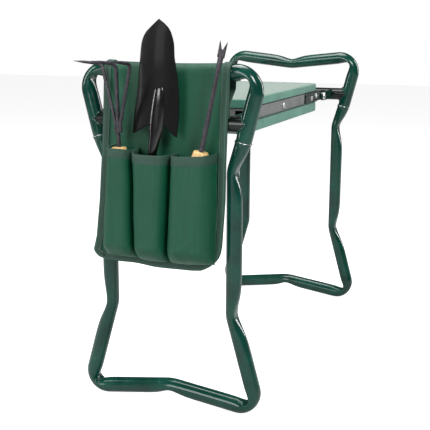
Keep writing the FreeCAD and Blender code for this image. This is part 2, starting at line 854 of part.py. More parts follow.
def tool_frame(y, foot_z, lean, turn=0.0):
    """The placement of a tool whose own Z runs up its handle from its foot."""
    rotation = FreeCAD.Rotation(Vector(1, 0, 0), -lean) * FreeCAD.Rotation(Vector(0, 0, 1), turn)
    return (D.seat_x - D.tool_offset, y, foot_z), rotation


def turned_body(profile, spot, rotation):
    """A turned piece: a half outline of radius and height, revolved about its own Z."""
    body = doc.addObject("PartDesign::Body", "Turned")
    half = sketch_on(body, "XZ_Plane", "HalfOutline")
    draw_outline(half, profile)
    revolved = body.newObject("PartDesign::Revolution", "Revolve")
    revolved.Profile = half
    revolved.ReferenceAxis = (half, ["V_Axis"])
    return place(body, spot, rotation)


def handle_of(length, bore, depth, spot, rotation):
    """A turned wooden handle with a bore in its top for the tool's shank."""
    form = [(D.handle_radius * wide, length * tall) for wide, tall in HANDLE_FORM]
    floor = length - depth
    profile = [(0.0, 0.0), *form, (bore, length), (bore, floor), (0.0, floor)]
    return turned_body(profile, spot, rotation)


grip_spot, grip_turned = tool_frame(D.grip_y, D.grip_foot_z, D.grip_lean.value, D.grip_turn.value)
grip_bore = D.shank_radius + D.running_gap
keep("cultivator_handle", handle_of(D.grip_length, grip_bore, D.shank_drop, grip_spot, grip_turned))

shank_foot = D.grip_length - D.shank_drop + D.seam_gap
bend_height = D.grip_length + D.tine_rise
centre_tine = doc.addObject("PartDesign::Body", "CentreTine")
tine_path = sketch_on(centre_tine, "XZ_Plane", "Run")
draw_path(
    tine_path,
    [(0, 0), (0, bend_height - shank_foot), (D.tine_hook, bend_height - shank_foot + D.tine_lift)],
    (D.tine_bend,),
)
tine_section = sketch_on(centre_tine, "XY_Plane", "Section")
draw_rings(tine_section, 0, (D.shank_radius,))
tine_pipe = centre_tine.newObject("PartDesign::AdditivePipe", "Pipe")
tine_pipe.Profile = tine_section
tine_pipe.Spine = tine_path
along_tool = grip_turned.multVec(Vector(0, 0, 1))
shank_spot = [base + shank_foot * way for base, way in zip(grip_spot, along_tool)]
keep("cultivator_shank", place(centre_tine, shank_spot, grip_turned))


def rounded_wire(points, radius):
    """Straight runs through points in space, joined by tangent bends."""
    edges, start = [], points[0]
    for before, corner, after in zip(points, points[1:], points[2:]):
        near, far, centre = bend_between(before, corner, after, radius)
        middle = centre + (corner - centre).normalize() * radius
        edges += [Part.makeLine(start, near), Part.Arc(near, middle, far).toShape()]
        start = far
    return Part.Wire([*edges, Part.makeLine(start, points[-1])])


def side_tine(side):
    """One outer tine: welded beside the shank, fanned out, then hooked. Its bends lie in two planes."""
    beside = side * (D.shank_radius + D.tine_radius + D.weld_gap).value
    weld_low = Vector(0, beside, (D.grip_length + D.weld_low).value)
    weld_high = Vector(0, beside, (D.grip_length + D.weld_high).value)
    bend = Vector(0, side * D.tine_spread.value, bend_height.value)
    splay = math.radians(D.tine_splay.value) * side
    reach = D.tine_hook.value
    hook = Vector(reach * math.cos(splay), reach * math.sin(splay), D.tine_lift.value)
    run = [weld_low, weld_high, bend, bend + hook]
    section = Part.Wire(Part.makeCircle(D.tine_radius.value, run[0], Vector(0, 0, 1)))
    return rounded_wire(run, D.tine_bend.value).makePipeShell([section], True, False)


side_tines = doc.addObject("Part::Feature", "SideTines")
side_tines.Shape = Part.Compound([side_tine(-1), side_tine(1)])
keep("cultivator_side_tines", place(side_tines, grip_spot, grip_turned))

spade_spot, spade_turned = tool_frame(D.spade_y, D.spade_foot_z, D.spade_lean.value)
tang_radius = D.handle_radius / 2
spade_bore = tang_radius + D.running_gap
keep("trowel_handle", handle_of(D.spade_length, spade_bore, D.shank_drop, spade_spot, spade_turned))

blade_foot = D.spade_length + D.blade_foot
BLADE_FORM = (
    (0.0, 0.09),
    (0.38, 0.085),
    (0.6, 0.03),
    (0.85, 0.0),
    (0.96, 0.02),
    (1.0, 0.25),
    (0.8, 0.62),
    (0.73, 0.8),
    (0.6, 0.9),
    (0.36, 0.965),
    (0.0, 1.0),
)
right_half = [(D.blade_half * -wide, D.blade_length * tall) for wide, tall in BLADE_FORM]
left_half = [(D.blade_half * wide, D.blade_length * tall) for wide, tall in BLADE_FORM[-2:0:-1]]
blade_slab = panel_body([right_half + left_half], 2 * D.blade_half, (-D.blade_half, 0, blade_foot))
dish_x = D.blade_dish + 1
shell = cut(
    rod((dish_x, 0, blade_foot - 5), D.blade_dish, D.blade_length + 10),
    [rod((dish_x, 0, blade_foot - 6), D.blade_dish - D.blade_thick, D.blade_length + 12)],
)
blade = doc.addObject("Part::MultiCommon", "Blade")
blade.Shapes = [blade_slab, shell]
neck_foot = D.spade_length - D.shank_drop + D.seam_gap
neck_base = D.spade_length + D.seam_gap
NECK_FORM = ((1.0, 0.0), (1.1, 0.52), (0.69, 0.93), (0.36, 0.985), (0.0, 1.0))
neck_form = [(0.0, neck_foot), (tang_radius, neck_foot), (tang_radius, neck_base)]
neck_form += [(D.neck_radius * wide, neck_base + D.neck_rise * tall) for wide, tall in NECK_FORM]
neck = turned_body(neck_form, (0, 0, 0), FreeCAD.Rotation())
keep("trowel_head", place(joined([blade, neck]), spade_spot, spade_turned))

fork_spot, fork_turned = tool_frame(D.fork_y, D.fork_foot_z, D.fork_lean.value)
fork_bore = D.fork_radius + D.running_gap
keep("weeder_handle", handle_of(D.fork_length, fork_bore, D.shank_drop, fork_spot, fork_turned))
fork_foot = D.fork_length - D.shank_drop + D.seam_gap
fork_base = D.fork_length + D.fork_reach - D.fork_head
fork_rod = rod((0, 0, fork_foot), D.fork_radius, fork_base + D.fork_head * 0.3 - fork_foot)
FORK_FORM = (
    (-0.08, 0.0),
    (0.08, 0.0),
    (0.11, 0.58),
    (0.163, 1.0),
    (0.116, 1.013),
    (0.008, 0.71),
    (-0.084, 1.013),
    (-0.132, 1.0),
    (-0.1, 0.58),
)
fork_outline = [(D.fork_head * across_it, D.fork_head * up) for across_it, up in FORK_FORM]
head_thick = D.fork_radius * 1.3
fork_head = panel_body([fork_outline], head_thick, (-head_thick / 2, 0, fork_base))
keep("weeder_shank", place(joined([fork_rod, fork_head]), fork_spot, fork_turned))

# ---- Check every object, then write one STEP file for each sub-part ----

doc.recompute()
faults = [item.Name for item in doc.Objects if "Invalid" in item.State or "Error" in item.State]
for label, piece in parts.items():
    if piece.Shape.isNull() or not piece.Shape.isValid() or not piece.Shape.Solids:
        faults.append(label)
if faults:
    raise RuntimeError(f"faulty objects: {faults}")
os.makedirs("parts", exist_ok=True)
for label, piece in parts.items():
    piece.Shape.exportStep(os.path.join("parts", f"{label}.step"))
    print(f"{label}: {len(piece.Shape.Solids)} solid(s), {piece.Shape.Volume / 1000:.1f} cm3")
print(f"{len(parts)} sub-parts")
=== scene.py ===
import math

import bpy
from mathutils import Matrix, Vector, noise


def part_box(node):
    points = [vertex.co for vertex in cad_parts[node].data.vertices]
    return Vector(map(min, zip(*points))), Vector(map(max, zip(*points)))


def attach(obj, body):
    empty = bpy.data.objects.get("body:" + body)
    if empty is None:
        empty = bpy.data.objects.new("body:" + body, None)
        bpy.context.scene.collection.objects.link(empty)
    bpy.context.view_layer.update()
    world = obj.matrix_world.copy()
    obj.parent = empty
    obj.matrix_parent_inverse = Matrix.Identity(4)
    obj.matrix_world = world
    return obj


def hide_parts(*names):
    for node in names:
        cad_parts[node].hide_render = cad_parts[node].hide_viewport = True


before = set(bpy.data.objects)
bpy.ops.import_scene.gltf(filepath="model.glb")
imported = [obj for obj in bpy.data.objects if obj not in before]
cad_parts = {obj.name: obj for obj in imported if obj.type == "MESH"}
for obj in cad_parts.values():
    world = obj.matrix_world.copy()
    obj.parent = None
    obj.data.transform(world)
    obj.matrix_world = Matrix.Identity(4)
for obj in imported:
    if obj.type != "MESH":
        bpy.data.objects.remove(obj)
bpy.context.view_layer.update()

# ---- Powder-coated steel: the gloss green frames, their cross tubes and hinge arms ----
# Sizes are in millimetres. Each finish is built from nodes, with patterns scaled from real sizes.
# A frame's outline is given as (Y, Z) corners, and each frame stands in one plane of X.
MM = 0.001
FRAME_X = {"left": -255.4, "right": 332.6}
FRAME_BODY = {"left": "pouch_frame", "right": "end_frame"}
SIDES = {"front": -1, "back": 1}


def colour(code):
    """An sRGB hex colour as linear red, green, blue and alpha."""
    parts = [int(code[i : i + 2], 16) / 255 for i in (1, 3, 5)]
    return [*(c / 12.92 if c <= 0.04045 else ((c + 0.055) / 1.055) ** 2.4 for c in parts), 1.0]


def add(finish, kind, links=None, **settings):
    """Adds a shader node with its settings; an input takes a number, a colour or a node's output."""
    node = finish.node_tree.nodes.new("ShaderNode" + kind)
    for name, value in settings.items():
        setattr(node, name, value)
    for key, value in (links or {}).items():
        if isinstance(value, bpy.types.NodeSocket):
            finish.node_tree.links.new(value, node.inputs[key])
        else:
            node.inputs[key].default_value = value
    return node.outputs


def new_finish(name):
    """An empty node material, and the place its grain is measured from, in metres."""
    finish = bpy.data.materials.new(name)
    finish.use_nodes = True
    finish.node_tree.nodes.clear()
    return finish, add(finish, "TexCoord")["Object"]


def surface(finish, links):
    """Ends a material with one physically based surface."""
    shader = add(finish, "BsdfPrincipled", links)
    add(finish, "OutputMaterial", {"Surface": shader[0]})
    return finish


def mottle(finish, place, grain, detail=3.0, rough=0.5):
    """A noise pattern with grains of this size, in millimetres."""
    links = {"Vector": place, "Scale": 1 / (grain * MM), "Detail": detail, "Roughness": rough}
    return add(finish, "TexNoise", links)[0]


def between(finish, factor, low, high, start=0.0, end=1.0):
    """Spreads a pattern between two values, clamped."""
    links = {"Value": factor, "From Min": start, "From Max": end, "To Min": low, "To Max": high}
    return add(finish, "MapRange", links)[0]


def tint(finish, factor, first, second):
    """Mixes two colours by a pattern."""
    return add(finish, "Mix", {0: factor, 6: first, 7: second}, data_type="RGBA")[2]


def bump(finish, height, depth, strength=1.0):
    """A relief of this depth, in millimetres."""
    return add(finish, "Bump", {"Height": height, "Distance": depth * MM, "Strength": strength})[0]


def powder_coat(name, base, light, roughness, peel, coat=0.0):
    """Baked powder coat: orange peel of this depth in millimetres, cloudy gloss and a little dust."""
    finish, place = new_finish(name)
    cloud = mottle(finish, place, 34)
    ripple = mottle(finish, place, 2.4, 1.0)
    dust = between(finish, mottle(finish, place, 9, 5.0, 0.65), 0.0, 0.1, 0.62, 0.8)
    body = tint(finish, between(finish, cloud, 0, 1, 0.3, 0.7), colour(base), colour(light))
    return surface(
        finish,
        {
            "Base Color": tint(finish, dust, body, colour("#33403b")),
            "Roughness": between(finish, cloud, roughness, roughness + 0.12, 0.3, 0.7),
            "Normal": bump(finish, ripple, peel),
            "Specular IOR Level": 0.3,
            "Coat Weight": coat,
            "Coat Roughness": 0.06,
        },
    )


# Gloss coats give the frames sharp narrow highlights; the seat's satin coats only a soft sheen.
frame_paint = powder_coat("frame_green_gloss_powder_coat", "#002a22", "#023f33", 0.16, 0.03, 0.3)
# Painted shade: the cross tubes get a near-black copy of the frames' green coat, for the shade they lie in
# under the seat.
cross_shaded_paint = powder_coat("cross_tube_shaded_green_powder_coat", "#020806", "#06130f", 0.24, 0.06, 0.2)
bracket_paint = powder_coat("bracket_dark_green_powder_coat", "#06110e", "#0b1e19", 0.34, 0.04)
rail_paint = powder_coat("rail_grey_satin_powder_coat", "#5d5f5e", "#737574", 0.42, 0.03)
plate_paint = powder_coat("plate_green_satin_powder_coat", "#0a3a2d", "#0f4a3a", 0.4, 0.03)


def turns(count):
    """Equal turns once round a circle, in radians."""
    return [2 * math.pi * k / count for k in range(count)]


def bent_path(corners, radii, step=1.5):
    """Points along straight runs joined by tangent arcs.

    Also gives each bend's distance along the path and the way to its inner side.
    """
    points, bends, length = [corners[0]], [], 0.0

    def run_to(end):
        nonlocal length
        start = points[-1]
        count = max(1, int((end - start).length / step))
        points.extend(start.lerp(end, i / count) for i in range(1, count + 1))
        length += (end - start).length

    for before, corner, after, radius in zip(corners, corners[1:], corners[2:], radii):
        back, on = (before - corner).normalized(), (after - corner).normalized()
        half = back.angle(on) / 2
        inner = (back + on).normalized()
        reach = radius / math.tan(half)
        centre = corner + inner * (radius / math.sin(half))
        run_to(corner + back * reach)
        turn = math.pi - 2 * half
        count = max(3, int(turn * radius / step))
        first, last = corner + back * reach - centre, corner + on * reach - centre
        for i in range(1, count + 1):
            t = i / count
            arm = (first * math.sin((1 - t) * turn) + last * math.sin(t * turn)) / math.sin(turn)
            points.append(centre + arm)
        bends.append((length + turn * radius / 2, inner))
        length += turn * radius
    run_to(corners[-1])
    return points, bends


def link(name, data):
    """An object for a mesh, a lamp or a camera, put in the scene."""
    thing = bpy.data.objects.new(name, data)
    bpy.context.scene.collection.objects.link(thing)
    return thing


def build(name, points, faces, finish, body, places=None):
    """A mesh piece in millimetres that rides on a body; places are its cloth positions, point by point."""
    mesh = bpy.data.meshes.new(name)
    mesh.from_pydata([Vector(p) * MM for p in points], [], faces)
    mesh.polygons.foreach_set("use_smooth", [True] * len(mesh.polygons))
    mesh.materials.append(finish)
    if places:
        layer = mesh.uv_layers.new(name="cloth")
        for loop in mesh.loops:
            layer.data[loop.index].uv = [v * MM for v in places[loop.vertex_index]]
    piece = link(name, mesh)
    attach(piece, body)
    return piece


def loft(rings, closed=True, ends=True):
    """Points and faces of a surface through rings with equal counts."""
    count = len(rings[0])
    faces = []
    for row in range(len(rings) - 1):
        for i in range(count if closed else count - 1):
            j = (i + 1) % count
            a, b = row * count, (row + 1) * count
            faces.append((a + i, a + j, b + j, b + i))
    if closed and ends:
        faces.append(tuple(reversed(range(count))))
        faces.append(tuple(range((len(rings) - 1) * count, len(rings) * count)))
    return [p for ring in rings for p in ring], faces


def tube_rings(points, size, across, pinches=(), sides=32):
    """Rings along a path, dimpled at its pinches.

    size(s) gives the two half widths at a distance s, and across is the second width's way. A pinch is
    a distance, the way to the bend's inner side, a depth as a share of the tube, and a spread.
    """
    rings, length = [], 0.0
    for i, point in enumerate(points):
        along = (points[min(i + 1, len(points) - 1)] - points[max(i - 1, 0)]).normalized()
        if i:
            length += (point - points[i - 1]).length
        over = (across - along * across.dot(along)).normalized()
        out = along.cross(over)
        tall, wide = size(length)
        ring = []
        for turn in turns(sides):
            spot = out * (tall * math.cos(turn)) + over * (wide * math.sin(turn))
            for where, inner, depth, spread in pinches:
                share = depth * math.exp(-(((length - where) / spread) ** 2))
                if share < 0.004:
                    continue
                facing = max(0.0, spot.dot(inner))
                aside = abs(math.sin(turn))
                hollow = 0.22 * tall * max(0.0, 1 - (aside / 0.75) ** 2) * (facing > 0)
                spot = spot - inner * (share * (facing * 0.97 + hollow * share))
                spot = spot + over * (share * 0.16 * wide * math.sin(turn))
            ring.append(point + spot)
        rings.append(ring)
    return rings


def mirrored(half, middle):
    """A symmetrical outline of (Y, Z) corners, from its half and the one corner in its middle."""
    return (*half, middle, *((-y, z) for y, z in reversed(half)))


TUBE = 11.0
JOINT = (105.0, 379.8)
LEG = mirrored((JOINT, (93.5, 340.8), (93.5, 140.8), (131, 6.8)), (0, 24.8))
HANDLE = mirrored((JOINT, (129, 474.8)), (0, 460.8))
# Each bend of a tube: its radius, its dimple's depth as a share of the tube, and the dimple's spread.
SIDE_BENDS = ((45, 0.66, 24), (45, 0.62, 26), (21, 0.9, 15))
LEG_BENDS = (*SIDE_BENDS, (70, 0.4, 18), *reversed(SIDE_BENDS))
HANDLE_BENDS = ((26, 0.88, 16), (70, 0.42, 20), (26, 0.88, 16))
LIP_LENGTH = 3.0
CROSS_Z = 403.2
ACROSS = Vector((1, 0, 0))


def frame_tube(name, x, corners, bends, body, lip):
    """One bent tube, dimpled on the inner side of each bend; its open ends flare, or neck in, by lip."""
    points, places = bent_path([Vector((x, *c)) for c in corners], [radius for radius, _, _ in bends])
    total = sum((b - a).length for a, b in zip(points, points[1:]))

    def size(s):
        near = min(s, total - s)
        half = TUBE + lip * math.exp(-((near / LIP_LENGTH) ** 2))
        return half, half

    pinches = [(*place, depth, spread) for place, (_, depth, spread) in zip(places, bends)]
    return build(name, *loft(tube_rings(points, size, ACROSS, pinches)), frame_paint, body)


for end, body in FRAME_BODY.items():
    leg = frame_tube(f"leg_tube_{end}_dimpled", FRAME_X[end], LEG, LEG_BENDS, body, 0.9)
    handle = frame_tube(f"handle_tube_{end}_dimpled", FRAME_X[end], HANDLE, HANDLE_BENDS, body, -0.5)
    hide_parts(f"leg_tube_{end}")
    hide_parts(f"handle_tube_{end}")

# ---- Joint rings and weld beads ----
# The leg's end carries a bare steel ring where the handle tube plugs in, and each cross tube
# ends in a rippled weld bead on the leaning tube. The ground steel gives a thin bright line.
bare_steel, place = new_finish("joint_bare_ground_steel")
surface(
    bare_steel,
    {
        "Base Color": tint(bare_steel, mottle(bare_steel, place, 3), colour("#b4b8b6"), colour("#e4e6e4")),
        "Metallic": 1.0,
        "Roughness": between(bare_steel, mottle(bare_steel, place, 0.8), 0.2, 0.42),
    },
)
LEAN = (HANDLE[1][0] - JOINT[0]) / (HANDLE[1][1] - JOINT[1])


# The joint ring's section, as (out from the tube, up along it) pairs.
RING = ((0.5, 0.1), (0.95, 0.3), (0.7, 0.8), (0.1, 1.0), (-0.5, 0.9), (-0.5, 0.1))
BEAD = 1.9
BEAD_RIPPLES = 26


def ring_at(centre, first, second):
    """The joint ring's section at each turn about a centre, in the plane of two ways."""
    axis = first.cross(second)
    rings = []
    for turn in turns(48):
        out = first * math.cos(turn) + second * math.sin(turn)
        rings.append([centre + out * (TUBE + a) + axis * b for a, b in RING])
    return [*rings, rings[0]]


def weld_ring(x, side):
    """Rings of a weld bead where a level cross tube meets the leaning tube."""
    rings = []
    for turn in (*turns(72), 2 * math.pi):
        out = Vector((math.cos(turn), 0, math.sin(turn)))
        spot = Vector((x, 0, CROSS_Z)) + out * (TUBE + 0.2)
        reach = JOINT[0] + (spot.z - JOINT[1]) * LEAN - (TUBE + 0.1) * abs(math.sin(turn)) - 0.4
        spot.y = side * reach
        bead = BEAD + 0.35 * math.sin(turn * BEAD_RIPPLES) + 0.3 * noise.noise(out * 3)
        ring = []
        for a in turns(10):
            ring.append(spot + out * (bead * math.cos(a)) + Vector((0, bead * math.sin(a), 0)))
        rings.append(ring)
    return rings


for end, body in FRAME_BODY.items():
    for name, side in SIDES.items():
        slope = Vector((0, side * LEAN, 1)).normalized()
        centre = Vector((FRAME_X[end], side * JOINT[0], JOINT[1]))
        ring = ring_at(centre, ACROSS, slope.cross(ACROSS))
        build(f"joint_ring_{end}_{name}", *loft(ring, ends=False), bare_steel, body)
        bead = loft(weld_ring(FRAME_X[end], side), ends=False)
        build(f"weld_bead_{end}_{name}", *bead, frame_paint, body)


def paint(finish, *names):
    """Gives the CAD nodes whose names start this way one finish."""
    for node_name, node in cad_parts.items():
        if node_name.startswith(names):
            node.data.materials.clear()
            node.data.materials.append(finish)


# The cross tubes take the painted-shade copy of the frames' green coat.
paint(cross_shaded_paint, "cross_tube")
paint(frame_paint, "hinge_arm")
paint(bracket_paint, "hinge_bracket")
paint(plate_paint, "seat_plate_bottom")
paint(rail_paint, "side_rail", "end_rail", "seat_plate_top", "cross_brace")

# ---- Fasteners: zinc-plated screws, rivets and pivot pins, and nylon washers ----
# The zinc's fine spangle breaks up its bright reflections, and the moulded nylon is a dull black.
# All of them keep their CAD shapes.
zinc, place = new_finish("fastener_zinc_plate")
spangle = mottle(zinc, place, 1.6, 2.0)
surface(
    zinc,
    {
        "Base Color": tint(zinc, spangle, colour("#b9bdbb"), colour("#dfe2df")),
        "Metallic": 1.0,
        "Roughness": between(zinc, spangle, 0.22, 0.4, 0.3, 0.7),
        "Normal": bump(zinc, mottle(zinc, place, 0.5), 0.02),
    },
)
nylon, place = new_finish("washer_black_nylon")
surface(
    nylon,
    {
        "Base Color": colour("#15171a"),
        "Roughness": 0.5,
        "Normal": bump(nylon, mottle(nylon, place, 0.4), 0.02),
    },
)
paint(zinc, "rail_screws", "bracket_rivets", "pivot_pins")
paint(nylon, "pivot_washers")

# ---- Foam pads: closed-cell EVA slabs with softened edges, above and below the seat ----
# The foam is matt and finely pitted; its upper face is painted paler and greyer than its cut sides,
# as painted light and sheen from above. Its cells are drawn at 0.9 mm, coarser than real ones, so that they
# show.
foam, place = new_finish("pad_closed_cell_eva_foam")
cells = add(foam, "TexVoronoi", {"Vector": place, "Scale": 1 / (0.9 * MM)}, feature="F1")["Distance"]
skin = mottle(foam, place, 5, 6.0, 0.7)
shade_noise = mottle(foam, place, 60)
# Painted light: the normal's upward share turns the sides' green into a paler, greyer tone on the top
# faces.
top_light_share = add(foam, "SeparateXYZ", {0: add(foam, "NewGeometry")["Normal"]})["Z"]
side_tone = tint(foam, between(foam, shade_noise, 0, 1, 0.3, 0.7), colour("#3b7361"), colour("#4c8673"))
painted_top_light_tone = tint(foam, between(foam, skin, 0, 1, 0.35, 0.65), colour("#74857c"), colour("#87968e"))
surface(
    foam,
    {
        "Base Color": tint(foam, between(foam, top_light_share, 0, 1, 0.45, 0.9), side_tone, painted_top_light_tone),
        "Roughness": between(foam, skin, 0.6, 0.78),
        "Sheen Weight": 0.1,
        "Sheen Roughness": 0.5,
        "Normal": bump(foam, add(foam, "Math", {0: cells, 1: skin}, operation="ADD")[0], 0.1),
    },
)


PAD_EDGE = 3.2
PAD_CORNER = 7.0
CORNER_STEPS = 8
FACE_STEPS = 8


def pad_ring(middle, half, inset, z):
    """A rounded rectangle at a height, drawn in by inset."""
    reach = PAD_CORNER - inset
    ring = []
    for sx, sy, start in ((1, 1, 0), (-1, 1, 90), (-1, -1, 180), (1, -1, 270)):
        for k in range(CORNER_STEPS + 1):
            turn = math.radians(start + k * 90 / CORNER_STEPS)
            x = middle.x + sx * (half.x - PAD_CORNER) + reach * math.cos(turn)
            y = middle.y + sy * (half.y - PAD_CORNER) + reach * math.sin(turn)
            ring.append(Vector((x, y, z)))
    return ring


def crown_face(points, faces, first, rim, way, middle, crown):
    """Closes a slab's face with rings that shrink and rise to its middle; its rim starts at point first."""
    count = len(rim)
    pairs = [(i, (i + 1) % count) if way > 0 else ((i + 1) % count, i) for i in range(count)]
    ring = range(first, first + count)
    for step in range(1, FACE_STEPS):
        shrink = 1 - step / FACE_STEPS
        fresh = range(len(points), len(points) + count)
        for p in rim:
            spot = Vector((middle.x + (p.x - middle.x) * shrink, middle.y + (p.y - middle.y) * shrink, p.z))
            spot.z += way * ((1 - shrink**2) * crown + 0.12 * noise.noise(spot * 0.03))
            points.append(spot)
        faces += [(ring[a], ring[b], fresh[b], fresh[a]) for a, b in pairs]
        ring = fresh
    faces += [(ring[a], ring[b], len(points)) for a, b in pairs]
    points.append(Vector((middle.x, middle.y, rim[0].z + way * crown)))


def foam_pad(node_name, crown):
    """A slab with rounded corners and edges, and its faces a little fuller in the middle."""
    low, high = (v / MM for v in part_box(node_name))
    middle, half = (low + high) / 2, (high - low) / 2
    lifts = (0.0, 0.35, 0.7, 0.9, 1.0)
    rings = []
    for way, lift in (*((-1, v) for v in lifts), *((1, v) for v in reversed(lifts))):
        inset = PAD_EDGE * (1 - math.sqrt(1 - (1 - lift) ** 2))
        rings.append(pad_ring(middle, half, inset, middle.z + way * (half.z - PAD_EDGE * lift)))
    points, faces = loft(rings, ends=False)
    last = len(points) - len(rings[-1])
    crown_face(points, faces, 0, rings[0], -1, middle, crown)
    crown_face(points, faces, last, rings[-1], 1, middle, crown)
    pad = build(f"{node_name}_soft", points, faces, foam, "seat")
    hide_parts(node_name)


foam_pad("foam_pad_top", 0.5)
foam_pad("foam_pad_bottom", 0.3)

# ---- Pouch cloth: one hung sheet is the back panel and the flap that wraps the top bar ----
# A place on the cloth is (across, along): across is Y, and along runs up the cloth from CLOTH_Z,
# over the bar and down the flap. The weave's yarns are drawn wider than real ones, so that they show.


def woven(name, base, light, thread, roughness, streak):
    """Plain-woven polyester with soft lengthwise streaks and painted shade in its weave's hollows; thread
    is one yarn's width in millimetres.
    """
    finish, _ = new_finish(name)
    cloth = add(finish, "UVMap", uv_map="cloth")[0]
    bands = 0.1 * math.pi / (2 * thread * MM)
    wave = {"Vector": cloth, "Scale": bands, "Distortion": 0.4, "Detail": 1.0}
    warp = add(finish, "TexWave", wave, bands_direction="X")[1]
    weft = add(finish, "TexWave", wave, bands_direction="Y")[1]
    over = add(finish, "Math", {0: warp, 1: weft}, operation="MULTIPLY")[0]
    long_way = add(finish, "VectorMath", {0: cloth, 1: (1.0, 0.14, 1.0)}, operation="MULTIPLY")[0]
    streaks = mottle(finish, long_way, 7, 3.0, 0.6)
    slubs = mottle(finish, cloth, 1.6, 4.0, 0.6)
    fleck = between(finish, slubs, 0, 1 - streak)
    tone = add(finish, "Math", {0: streaks, 1: streak, 2: fleck}, operation="MULTIPLY_ADD")[0]
    body = tint(finish, between(finish, tone, 0, 1, 0.3, 0.7), colour(base), colour(light))
    # Painted shade: the cloth darkens towards near black in the weave's hollows, between the raised yarns.
    weave_hollow_shade = tint(finish, between(finish, over, 0.35, 0.0), body, colour("#04130d"))
    relief = add(finish, "Math", {0: over, 1: between(finish, slubs, 0, 0.5)}, operation="ADD")[0]
    return surface(
        finish,
        {
            "Base Color": weave_hollow_shade,
            "Roughness": roughness,
            "Specular IOR Level": 0.35,
            "Sheen Weight": 0.12,
            "Sheen Roughness": 0.3,
            "Sheen Tint": colour("#8fd0b4"),
            "Normal": bump(finish, relief, 0.16),
        },
    )


pouch_cloth = woven("pouch_woven_polyester", "#00422c", "#085c40", 0.55, 0.45, 0.35)
tape_cloth = woven("binding_woven_polyester_tape", "#203f34", "#355649", 0.7, 0.6, 0.3)
thread, place = new_finish("stitch_polyester_thread")
thread_tone = tint(thread, mottle(thread, place, 2), colour("#3b6453"), colour("#5c8472"))
surface(thread, {"Base Color": thread_tone, "Roughness": 0.6})

PANEL_X = -267.8
CLOTH_Z = 200
BAR_Z = 470.2
WRAP = 12.4
FLAP_X = PANEL_X + 4.4
# The cut of the panel: each side's edge as (along, across) places, from the bottom up, and each
# bottom corner's radius and height along.
LEFT_EDGE = (
    (0, 111), (17, 113), (38, 107.7), (90, 101.7), (147, 97.1), (230, 92.1), (280, 90.5), (420, 90),
)
RIGHT_EDGE = (
    (0, -72), (22, -77.5), (41, -80.3), (77, -82.9), (104, -84.6), (157, -85.3), (210, -86.7),
    (282, -89.5), (420, -87),
)
CORNERS = {1: (15.0, 6.0), -1: (30.0, 3.6)}
PANEL_CLOTH = 0.9
PANEL_FOOT = 4.5
FLAP_END = 376.0


def follow(table, at):
    """A value read along a table of (place, value) rows."""
    for (a, low), (b, high) in zip(table, table[1:]):
        if at <= b:
            return low + (high - low) * max(0.0, at - a) / (b - a)
    return table[-1][1]


section, _ = bent_path(
    [Vector(c) for c in (
        (PANEL_X, 0, CLOTH_Z), (PANEL_X, 0, BAR_Z + WRAP), (PANEL_X + 2 * WRAP, 0, BAR_Z + WRAP),
        (PANEL_X + 2 * WRAP, 0, 449), (FLAP_X, 0, 430), (FLAP_X, 0, 405),
    )],
    (WRAP - 0.1, WRAP - 0.1, 6, 6),
    1.0,
)
SECTION = [0.0]
for start, stop in zip(section, section[1:]):
    SECTION.append(SECTION[-1] + (stop - start).length)


def smooth(t):
    """Eases from 0 to 1."""
    t = min(1.0, max(0.0, t))
    return t * t * (3 - 2 * t)


def on_section(along):
    """A point of the hung cloth's cross-section and the way it faces."""
    low, high = 0, len(SECTION) - 1
    while high - low > 1:
        middle = (low + high) // 2
        low, high = (middle, high) if SECTION[middle] <= along else (low, middle)
    share = (along - SECTION[low]) / (SECTION[high] - SECTION[low])
    way = (section[high] - section[low]).normalized()
    return section[low].lerp(section[high], share), Vector((-way.z, 0, way.x))


def bottom_at(across):
    """How far along the bottom edge lies: it dips in the middle."""
    return 2.6 + 3.2 * smooth((across - 10) / 45) + 3.0 * smooth((-across - 30) / 40)


def edge_at(along, side):
    """The panel's edge across at a place along, rounded into the bottom edge."""
    edge = follow(LEFT_EDGE if side > 0 else RIGHT_EDGE, along)
    radius, low = CORNERS[side]
    if along < low + radius:
        edge -= side * radius * (1 - math.sqrt(max(0.0, 1 - (1 - max(0.0, along - low) / radius) ** 2)))
    return edge


def panel_point(across, along, lift=0.0):
    """A place of the cloth as a point of the hung panel, lifted off its outer face."""
    spot, face = on_section(min(along, FLAP_END))
    fade = smooth(1 - along / 60)
    settle = (bottom_at(across) - PANEL_FOOT) * fade
    wave = 0.7 * noise.noise(Vector((across * 0.022, along * 0.012, 3.0)))
    wave += 0.35 * noise.noise(Vector((across * 0.06, along * 0.02, 7.0)))
    hem = 1.6 * smooth(1 - along / 45) * (0.5 + 0.5 * math.sin(across * 0.09 + 1.0))
    sag = 2.0 * (1 - (across / 91) ** 2) * smooth((along - 255) / 20) * smooth((330 - along) / 20)
    give = max(0.0, wave + 0.4) * smooth((262 - along) / 30) + hem * 0.6
    return Vector((spot.x, across, spot.z + settle - sag)) + face * (give + lift)


def grid(rows, columns, place_of, point_of):
    """Points, faces and cloth places of a sheet laid out in rows and columns."""
    places = [place_of(r / (rows - 1), c / (columns - 1)) for r in range(rows) for c in range(columns)]
    faces = [
        (r * columns + c, r * columns + c + 1, (r + 1) * columns + c + 1, (r + 1) * columns + c)
        for r in range(rows - 1)
        for c in range(columns - 1)
    ]
    return [point_of(*p) for p in places], faces, places


def thicken(piece, thickness):
    """Gives a sheet its thickness, in millimetres, centred on it."""
    solid = piece.modifiers.new("cloth_thickness", "SOLIDIFY")
    solid.thickness, solid.offset = thickness * MM, 0.0


def panel_along(share):
    """How far along the panel a share of its length is."""
    return PANEL_FOOT + (FLAP_END - PANEL_FOOT) * share


def panel_place(r, c):
    """The panel's rows run from edge to edge, from its foot to the end of the flap."""
    along = panel_along(r)
    right, left = edge_at(along, -1), edge_at(along, 1)
    return right + (left - right) * c, along


points, faces, places = grid(150, 72, panel_place, panel_point)
panel = build("pouch_hung_sheet", points, faces, pouch_cloth, "pouch_frame", places=places)
thicken(panel, PANEL_CLOTH)
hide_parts("pouch_panel", "pouch_flap")

